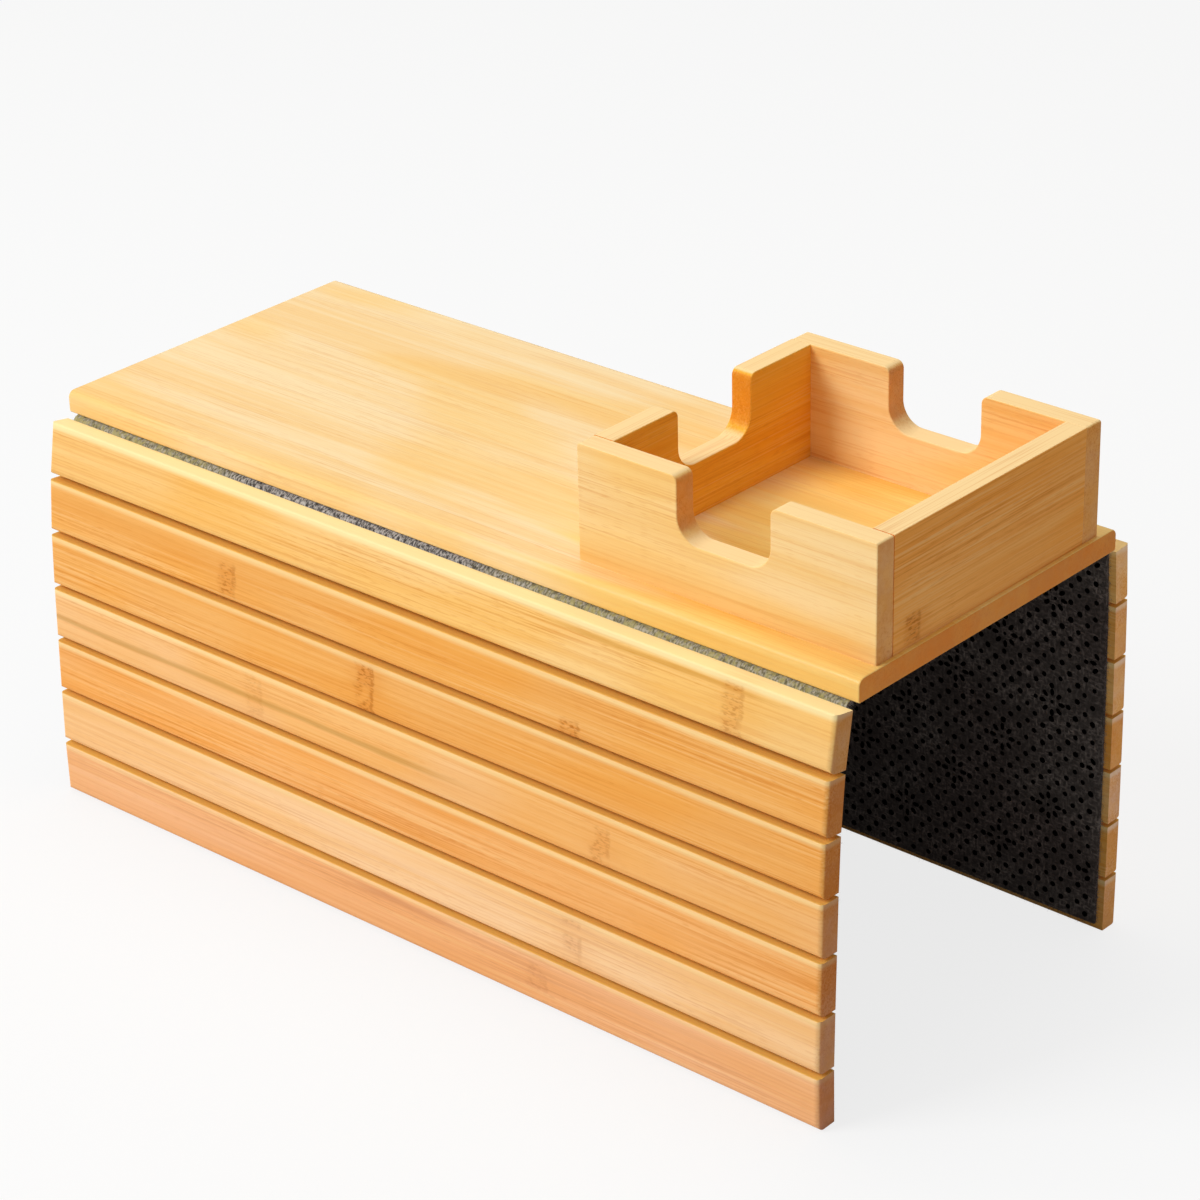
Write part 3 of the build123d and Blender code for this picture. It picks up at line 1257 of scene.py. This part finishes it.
@dataclass(frozen=True)
class SlatFlap:
    """One hanging flap: seven slats, each leaning outwards by its own angle in degrees."""

    side: Side
    leans: tuple[float, ...]
    finishes: tuple[Bamboo, ...]
    hinge_y: float = 78.4 * MM
    felt_z: float = 0.75 * MM
    slat_width: float = 22.0 * MM
    slat_gap: float = 1.6 * MM
    corner_gap: float = 2.2 * MM

    @property
    def word(self) -> str:
        """The side's word in the names of the nodes and bodies."""
        return self.side.name.lower()

    def directions(self) -> np.ndarray:
        """The way (y, z) down each slat."""
        lean = np.radians(self.leans)
        return np.stack([self.side.value * np.sin(lean), -np.cos(lean)], axis=1)

    def hinges(self) -> np.ndarray:
        """The bend above each slat: the first, and each one slat further down.

        Returns:
            One row (y, z) for each slat.
        """
        reach = np.full(len(self.leans), self.slat_width + self.slat_gap)
        reach[0] = self.corner_gap / 2 + self.slat_width + self.slat_gap / 2
        steps = self.directions() * reach[:, None]
        first = np.array([[self.side.value * self.hinge_y, self.felt_z]])
        return np.vstack([first, first + np.cumsum(steps, axis=0)[:-1]])

    def dress(self) -> None:
        """Gives each slat its own finish, with a painted highlight below the height of its top."""
        for n, finish in enumerate(self.finishes, start=1):
            node = f"{self.word}_slat_{n}"
            # the painted highlight sits just below the slat's top
            edged = replace(finish, arris=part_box(node)[1][2])
            dress(node, edged.build())


@dataclass(frozen=True)
class FeltBacking:
    """The one sheet of felt under the board and down both flaps, in a section for each bend.

    A section is divided every column along the tray and into rows at least down the felt.
    board_half is how far the middle section goes on each side of the board's middle, the two
    reaches are how far the rounding goes from a bend, and the hem ends hem_inset above the
    lower edge of the last slat. wave gives the inner face's slow unevenness, in radians for
    each metre. No mark is printed nearer than bend_clear to a corner's bend or hem_clear to the
    hem, and no hair of the hem or a corner gap grows nearer than hair_inset to the cut ends. In
    a corner gap the hairs' roots lie from gap_above to gap_below round a line gap_shift above
    the bend, gap_sunk deep, and the hairs point along gap_heading and stray by gap_spread.
    """

    length: float = 392 * MM
    thickness: float = 1.46 * MM
    edge_round: float = 0.45 * MM
    column: float = 4 * MM
    rows: int = 7
    board_half: float = 60 * MM
    corner_reach: float = 2.5 * MM
    slat_reach: float = 1.6 * MM
    hem_inset: float = 2.5 * MM
    unevenness: float = 0.05 * MM
    wave: tuple[float, float, float, float] = (210.0, 95.0, 240.0, 60.0)
    bend_clear: float = 3.0 * MM
    hem_clear: float = 1.6 * MM
    hair_inset: float = 0.5 * MM
    gap_shift: float = 0.4 * MM
    gap_above: float = 1.8 * MM
    gap_below: float = 1.2 * MM
    gap_sunk: float = 0.05 * MM
    gap_spread: Point = (1.0, 0.4, 0.0)
    gap_heading: Point = (0.0, 0.0, 0.35)
    print: NonSlipPrint = NonSlipPrint()
    hairs: LooseHairs = LooseHairs()

    def sections(self, flap: SlatFlap) -> list[FeltSection]:
        """The sections of one flap, from the one round the board's edge down to the hem.

        Args:
            flap: the flap.

        Returns:
            A section for each hinge.
        """
        hinges = flap.hinges()
        ways = flap.directions()
        half_slat = flap.slat_width / 2
        sections = []
        start = np.array([flap.side.value * self.board_half, flap.felt_z])
        first = self.board_half
        for n, hinge in enumerate(hinges):
            top = flap.corner_gap / 2 if n == 0 else flap.slat_gap / 2
            down = top + half_slat
            if n == len(hinges) - 1:
                down = top + flap.slat_width - self.hem_inset
            end = hinge + down * ways[n]
            reach = self.corner_reach if n == 0 else self.slat_reach
            section = FeltSection(start, hinge, end, flap.side.value, reach, first)
            sections.append(section)
            start = end
            first = section.span()[1]
        return sections

    def outline(self) -> np.ndarray:
        """The felt's cross-section along the tray: a long thin rectangle with rounded ends.

        Returns:
            One row (x, height) for each point, once round.
        """
        half = self.thickness / 2
        flat = self.length / 2 - self.edge_round
        tip = flat + self.edge_round
        low = half - self.edge_round
        columns = np.linspace(-flat, flat, int(2 * flat / self.column) + 1)
        turn = np.linspace(0, math.pi / 2, 4)[1:-1]
        across = flat + self.edge_round * np.sin(turn)
        corner = np.stack([across, low + self.edge_round * np.cos(turn)], axis=1)
        side = np.array([[tip, low], [tip, -low]])
        upper = np.stack([columns, np.full(len(columns), half)], axis=1)
        right = np.vstack([corner, side, corner[::-1] * [1, -1]])
        return np.vstack([upper, right, upper[::-1] * [1, -1], right[::-1] * [-1, 1]])

    def stretch(
        self, name: str, section: FeltSection, finish: bpy.types.Material
    ) -> bpy.types.Object:
        """Carries the outline along a section's line, closed at both ends.

        The inner face is uneven: its height follows sin(a x + b run) sin(c run - d x), where
        a, b, c and d are the numbers in wave.

        Args:
            name: the piece's name.
            section: the stretch of felt.
            finish: the felt's material.

        Returns:
            The piece.
        """
        outline = self.outline()
        runs = section.line()[0][1:-1]
        runs = np.unique(np.concatenate([runs, np.linspace(runs[0], runs[-1], self.rows)]))
        x, height = (column[None] for column in outline.T)
        run = runs[:, None]
        a, b, c, d = self.wave
        wave = np.sin(x * a + run * b) * np.sin(run * c - x * d)
        uneven = np.where(height < 0, self.unevenness * wave, 0.0)
        vertices = section.put(x + 0 * run, run + 0 * x, height + uneven).reshape(-1, 3)
        place = np.stack(np.broadcast_arrays(x, section.sign * run, height), axis=-1)

        around = len(outline)
        corner = np.arange(around)
        after = (corner + 1) % around
        ring = np.arange(len(runs) - 1)[:, None] * around
        quads = [ring + corner, ring + after, ring + after + around, ring + corner + around]
        faces = np.stack(quads, axis=-1).reshape(-1, 4).tolist()
        faces.append(corner.tolist())
        faces.append((corner + around * (len(runs) - 1)).tolist())
        return closed_piece(name, vertices, faces, finish, place.reshape(-1, 3))

    def edge_hairs(
        self,
        name: str,
        section: FeltSection,
        seed: int,
        hem: bool,
        corner: bool,
        finish: bpy.types.Material,
    ) -> bpy.types.Object:
        """Hairs along both cut ends of a section, and along its hem or in the corner gap.

        Args:
            name: the piece's name.
            section: the stretch of felt.
            seed: of the random roots.
            hem: whether the section ends in the felt's lower edge.
            corner: whether it goes round the board's edge.
            finish: the hairs' material.

        Returns:
            The piece.
        """
        rng = np.random.default_rng(seed)
        hairs = self.hairs
        first, last = section.span()
        depth = self.thickness / 2 - hairs.sunk
        half = self.length / 2 - self.hair_inset

        count = int((last - first) * hairs.per_metre)
        ends = np.repeat([-1.0, 1.0], count)
        x = ends * (self.length / 2 - hairs.sunk)
        run = rng.uniform(first, last, 2 * count)
        height = rng.uniform(-depth, depth, 2 * count)
        roots = [np.stack([x, run, height], axis=1)]
        ways = [np.stack([ends, 0 * x, 0 * x - hairs.lean], axis=1)]
        if hem:
            count = int(self.length * hairs.per_metre * hairs.hem_share)
            height = rng.uniform(-depth, depth, count)
            x = rng.uniform(-half, half, count)
            roots.append(np.stack([x, np.full(count, last - hairs.sunk), height], axis=1))
            ways.append(np.tile([0.0, 1.0, -hairs.lean], (count, 1)))
        if corner:
            count = int(self.length * hairs.per_metre * hairs.corner_share)
            gap = first + np.linalg.norm(section.bend - section.start) - self.gap_shift
            run = rng.uniform(gap - self.gap_above, gap + self.gap_below, count)
            x = rng.uniform(-half, half, count)
            top = np.full(count, self.thickness / 2 - self.gap_sunk)
            roots.append(np.stack([x, run, top], axis=1))
            ways.append(rng.normal(0, 1, (count, 3)) * self.gap_spread + self.gap_heading)
        return hairs.build(name, section, np.vstack(roots), np.vstack(ways), seed + 1, finish)

    def half_width(self, flap: SlatFlap) -> float:
        """The felt's distance from the board's middle to a flap's hem."""
        return self.sections(flap)[-1].span()[1]

    def build(self, flaps: Sequence[SlatFlap]) -> None:
        """Makes the felt, its print and its hairs; the middle section's pieces are joined to the
        tray's body and the flaps' pieces are left baked where they are made.

        Args:
            flaps: the front and rear flap.
        """
        rubber = Speckled(
            name="black_print",
            dark=(0.001, 0.001, 0.001),
            pale=(0.003, 0.002, 0.002),
            cell=(2 * MM, 2 * MM, 2 * MM),
            roughness=0.80,
            gloss=0.0,
            relief=0.2,
        )
        hair = Speckled(
            name="felt_hairs",
            dark=(0.10, 0.09, 0.09),
            pale=(0.34, 0.32, 0.31),
            cell=(3 * MM, 3 * MM, 3 * MM),
            roughness=0.9,
            gloss=0.1,
        )
        finishes = (Felt().build(), rubber.build(), hair.build())
        reach = max(self.half_width(flap) for flap in flaps)
        marks = self.print.marks(self.length / 2, reach)

        level = flaps[0].felt_z
        middle = FeltSection(
            start=np.array([-self.board_half, level]),
            bend=np.array([0.0, level]),
            end=np.array([self.board_half, level]),
            sign=1,
            reach=self.slat_reach,
            first=-self.board_half,
        )
        mine = marks[np.abs(marks[:, 1]) < self.board_half]
        nodes, rests = ["backing_top"], ["top_board"]
        self.join("felt_top", middle, mine, TOP_SEED, ("tray",), nodes, finishes)

        for flap in flaps:
            sections = self.sections(flap)
            word = flap.word
            own = marks * [1, flap.side.value, 1, 1, flap.side.value]
            for n, section in enumerate(sections, start=1):
                first, last = section.span()
                mine = own[(own[:, 1] >= first) & (own[:, 1] < last)]
                upper = "tray" if n == 1 else f"{word}_flap_{n - 1}"
                nodes = [f"{word}_backing_{n}"]
                rests = ["top_board" if n == 1 else f"{word}_slat_{n - 1}", f"{word}_slat_{n}"]
                if n == 1:
                    nodes.append(f"{word}_backing_bend")
                    bend = first + np.linalg.norm(section.bend - section.start)
                    mine = mine[np.abs(mine[:, 1] - bend) > self.bend_clear]
                if n == len(sections):
                    mine = mine[mine[:, 1] < last - self.hem_clear]
                seed = FLAP_SEED + SECTION_SEED * n + flap.side.value
                bodies = (upper, f"{word}_flap_{n}")
                name = f"felt_{word}_{n}"
                self.join(name, section, mine, seed, bodies, nodes, finishes)

    def join(
        self,
        name: str,
        section: FeltSection,
        marks: np.ndarray,
        seed: int,
        bodies: tuple[str, ...],
        nodes: list[str],
        finishes: tuple[bpy.types.Material, bpy.types.Material, bpy.types.Material],
    ) -> None:
        """Makes one section of the felt with its print and hairs, joins them to their body when
        there is one, leaves them baked in place when there are two, and hides its CAD nodes.

        Args:
            name: the felt piece's name.
            section: the stretch of felt.
            marks: the marks printed on it.
            seed: of its hairs.
            bodies: the body it rides on, or the two at whose bend it lies, to which it is not
                joined.
            nodes: the CAD nodes that it stands for.
            finishes: of the felt, the print and the hairs.
        """
        cloth = self.stretch(name, section, finishes[0])
        printed = self.print.build(f"{name}_print", section, marks, self.thickness / 2, finishes[1])
        hem = name.endswith("_7")
        corner = name.endswith("_1")
        hairs = self.edge_hairs(f"{name}_hairs", section, seed, hem, corner, finishes[2])
        for piece in (cloth, printed, hairs):
            if len(bodies) == 1:
                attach(piece, bodies[0])
            else:
                left, right = section.turning()
                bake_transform(piece)
        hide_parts(*nodes)
        first, last = section.span()


@dataclass(frozen=True)
class Lamp:
    """A square lamp: where it hangs, what it points at, its width and its power in watts."""

    name: str
    place: Point
    aim: Point
    size: float
    power: float

    def hang(self) -> None:
        """Hangs the lamp, turned to its aim."""
        lamp = bpy.data.lights.new(self.name, "AREA")
        lamp.size = self.size
        lamp.energy = self.power
        holder = bpy.data.objects.new(self.name, lamp)
        away = np.array(self.place) - np.array(self.aim)
        away /= np.linalg.norm(away)
        holder.location = self.place
        holder.rotation_euler = (math.acos(away[2]), 0.0, math.atan2(away[0], -away[1]))
        bpy.context.scene.collection.objects.link(holder)


@dataclass(frozen=True)
class Studio:
    """The pale floor, the white surroundings, the lamps and the camera.

    floor_glow is how much of the floor is plain white where the camera sees it, and floor_gap
    is how far it lies below the hanging flaps. Lens and sensor are in millimetres.
    """

    floor_size: float = 6.0
    floor_colour: Colour = (0.80, 0.80, 0.79)
    floor_glow: float = 0.80
    floor_gap: float = 0.2 * MM
    sky: float = 0.31
    key_lamp: Lamp = Lamp("key_lamp", (-1.1, -2.0, 1.7), (0.0, 0.0, 0.0), 1.3, 53.0)
    top_lamp: Lamp = Lamp("top_lamp", (-0.3, 0.3, 2.2), (0.0, 0.0, 0.0), 1.4, 20.0)
    camera_place: Point = (0.895004, -0.991942, 0.613365)
    camera_way: Point = (-0.59431902, 0.66961796, -0.44541744)
    camera_roll: float = -0.0231
    camera_lens: float = 114.383
    camera_sensor: float = 36.0
    camera_near: float = 0.01

    def white_where_seen(self, graph: Graph) -> Signal:
        """Tells the camera's rays from the light's.

        Args:
            graph: the floor's or the world's nodes.

        Returns:
            1 for rays that come straight or by gloss or glass from the camera, else 0.
        """
        path = graph.node("ShaderNodeLightPath", output="Is Camera Ray")
        seen = path.at_least(path.output("Is Glossy Ray"))
        return seen.at_least(path.output("Is Transmission Ray"))

    def make_floor(self, level: float) -> None:
        """Lays the floor under the flaps.

        Args:
            level: its height.
        """
        half = self.floor_size / 2
        mesh = bpy.data.meshes.new("floor")
        plan = [(-half, -half), (half, -half), (half, half), (-half, half)]
        mesh.from_pydata([(x, y, level) for x, y in plan], [], [(0, 1, 2, 3)])
        floor = bpy.data.objects.new("floor", mesh)
        bpy.context.scene.collection.objects.link(floor)
        material = bpy.data.materials.new("pale_floor")
        graph = Graph(material)
        cloth = graph.node("ShaderNodeBsdfDiffuse", None, {"Color": self.floor_colour})
        white = graph.node("ShaderNodeEmission", None, {"Color": WHITE, "Strength": 1.0})
        glow = self.white_where_seen(graph) * self.floor_glow
        lit = graph.node("ShaderNodeMixShader", None, {0: glow, 1: cloth, 2: white})
        graph.node("ShaderNodeOutputMaterial", None, {"Surface": lit})
        mesh.materials.append(material)

    def make_world(self) -> None:
        """Surrounds the scene with white that lights it softly."""
        world = bpy.data.worlds.new("studio")
        bpy.context.scene.world = world
        graph = Graph(world)
        seen = self.white_where_seen(graph)
        strength = self.sky + seen * (1.0 - self.sky)
        inputs = {"Color": WHITE, "Strength": strength}
        light = graph.node("ShaderNodeBackground", None, inputs)
        graph.node("ShaderNodeOutputWorld", None, {"Surface": light})

    def make_camera(self) -> None:
        """Stands the camera where the photograph was taken from: forward, right and up vectors."""
        forward = np.array(self.camera_way)
        forward /= np.linalg.norm(forward)
        level = np.cross(forward, [0.0, 0.0, 1.0])
        level /= np.linalg.norm(level)
        upright = np.cross(level, forward)
        right = math.cos(self.camera_roll) * level + math.sin(self.camera_roll) * upright
        up = np.cross(right, forward)
        camera = bpy.data.cameras.new("camera")
        camera.lens = self.camera_lens
        camera.sensor_width = self.camera_sensor
        camera.clip_start = self.camera_near
        holder = bpy.data.objects.new("camera", camera)
        pose = np.eye(4)
        pose[:3] = np.stack([right, up, -forward, np.array(self.camera_place)], axis=1)
        holder.matrix_world = Matrix(pose.tolist())
        bpy.context.scene.collection.objects.link(holder)
        bpy.context.scene.camera = holder

    def build(self) -> None:
        """Sets up the whole studio."""
        bpy.context.scene.view_settings.view_transform = "Standard"
        self.make_floor(CAD_BOX[0][2] - self.floor_gap)
        self.make_world()
        self.key_lamp.hang()
        self.top_lamp.hang()
        self.make_camera()


OLIVE: Colour = (0.48, 0.24, 0.045)
TEA: Colour = (0.66, 0.30, 0.040)
ROSE: Colour = (0.66, 0.27, 0.11)
BLUSH: Colour = (0.46, 0.16, 0.055)
PEACH: Colour = (1.0, 0.96, 0.88)
SHADED_TOP: Colour = (0.85, 0.49, 0.11)
SLAT_END: Colour = (0.68, 0.52, 0.47)
REAR_SLAT_END: Colour = (1.06, 1.02, 1.34)
ROSY: dict[str, Any] = {
    "golden": PEACH,
    # a weaker painted highlight on the peach slats
    "arris_strength": 0.35,
    "fibre_brown": ROSE,
    "pit_brown": BLUSH,
}


def slat_finish(name: str, pale: Colour, seed: float, **marks: Any) -> Bamboo:
    """The finish of one slat.

    Args:
        name: the slat's name.
        pale: its lighter colour.
        seed: of its pattern.
        marks: its knuckles, its stain and any colours of its own.

    Returns:
        The finish, with a deeper colour worked out from the lighter one.
    """
    ends = REAR_SLAT_END if name.startswith("rear") else SLAT_END
    top = None if name.endswith("_1") else SHADED_TOP
    return Bamboo(f"{name}_bamboo", pale, deeper(pale), seed, end_grain=ends, upward=top, **marks)


FRONT_SLATS = (
    slat_finish(
        "front_slat_1",
        (0.97, 0.63, 0.25),
        11.0,
        # the broad painted highlight along the first slat's top
        arris_strength=0.85,
        knuckles=(Knuckle(155.8 * MM, strength=0.6),),
        streak=Streak(-3 * MM, 60 * MM, 190 * MM, 1.6 * MM, TEA, 0.60),
    ),
    slat_finish(
        "front_slat_2",
        (0.91, 0.47, 0.14),
        12.3,
        knuckles=(
            Knuckle(-94.7 * MM, -42 * MM, -29 * MM, 0.8),
            Knuckle(82.4 * MM, -46 * MM, -38 * MM),
        ),
    ),
    slat_finish("front_slat_3", (0.92, 0.48, 0.15), 13.6, knuckles=(Knuckle(-20.4 * MM),)),
    slat_finish(
        "front_slat_4",
        (0.96, 0.58, 0.27),
        14.9,
        knuckles=(
            Knuckle(-81.2 * MM, strength=0.25),
            Knuckle(97.7 * MM, -92 * MM, -76 * MM, 0.5),
        ),
        streak=Streak(-82.5 * MM, -230 * MM, 40 * MM, 1.9 * MM, OLIVE, 0.50),
    ),
    slat_finish("front_slat_5", (0.94, 0.48, 0.17), 15.2),
    slat_finish(
        "front_slat_6",
        (0.98, 0.65, 0.36),
        16.5,
        fibre=0.22,
        knuckles=(Knuckle(84 * MM, strength=0.5),),
        **ROSY,
    ),
    slat_finish(
        "front_slat_7",
        (0.95, 0.54, 0.29),
        17.8,
        knuckles=(Knuckle(66 * MM, -157 * MM, -146 * MM, 0.4),),
        streak=Streak(-146 * MM, -45 * MM, 45 * MM, 2.6 * MM, ROSE, 0.62),
        **ROSY,
    ),
)

REAR_SLATS = (
    slat_finish("rear_slat_1", (0.94, 0.56, 0.18), 21.0, knuckles=(Knuckle(-40 * MM),)),
    slat_finish(
        "rear_slat_2",
        (0.90, 0.48, 0.13),
        22.3,
        knuckles=(Knuckle(120 * MM, strength=0.7),),
    ),
    slat_finish(
        "rear_slat_3",
        (0.94, 0.55, 0.18),
        23.6,
        knuckles=(Knuckle(-150 * MM, strength=0.6), Knuckle(35 * MM)),
    ),
    slat_finish("rear_slat_4", (0.89, 0.46, 0.12), 24.9),
    slat_finish(
        "rear_slat_5",
        (0.95, 0.57, 0.22),
        25.2,
        knuckles=(Knuckle(-70 * MM, strength=0.8),),
    ),
    slat_finish("rear_slat_6", (0.91, 0.49, 0.13), 26.5, knuckles=(Knuckle(150 * MM),)),
    slat_finish(
        "rear_slat_7",
        (0.90, 0.49, 0.15),
        27.8,
        knuckles=(Knuckle(10 * MM, strength=0.7),),
    ),
)

FRONT_LEANS = (9.7, 5.3, 2.6, 1.6, 1.6, 1.2, -0.8)
REAR_LEANS = (3.5, 1.5, 0.8, 0.3, 0.0, -0.5, -1.0)


def main() -> None:
    """Builds every sub-assembly in order."""
    logging.basicConfig(level=logging.INFO, format="%(name)s: %(message)s")
    front = SlatFlap(Side.FRONT, FRONT_LEANS, FRONT_SLATS)
    rear = SlatFlap(Side.REAR, REAR_LEANS, REAR_SLATS)
    TopBoard().dress()
    CupBox().dress()
    front.dress()
    rear.dress()
    FeltBacking().build((front, rear))
    Studio().build()


if __name__ == "__main__":
    main()
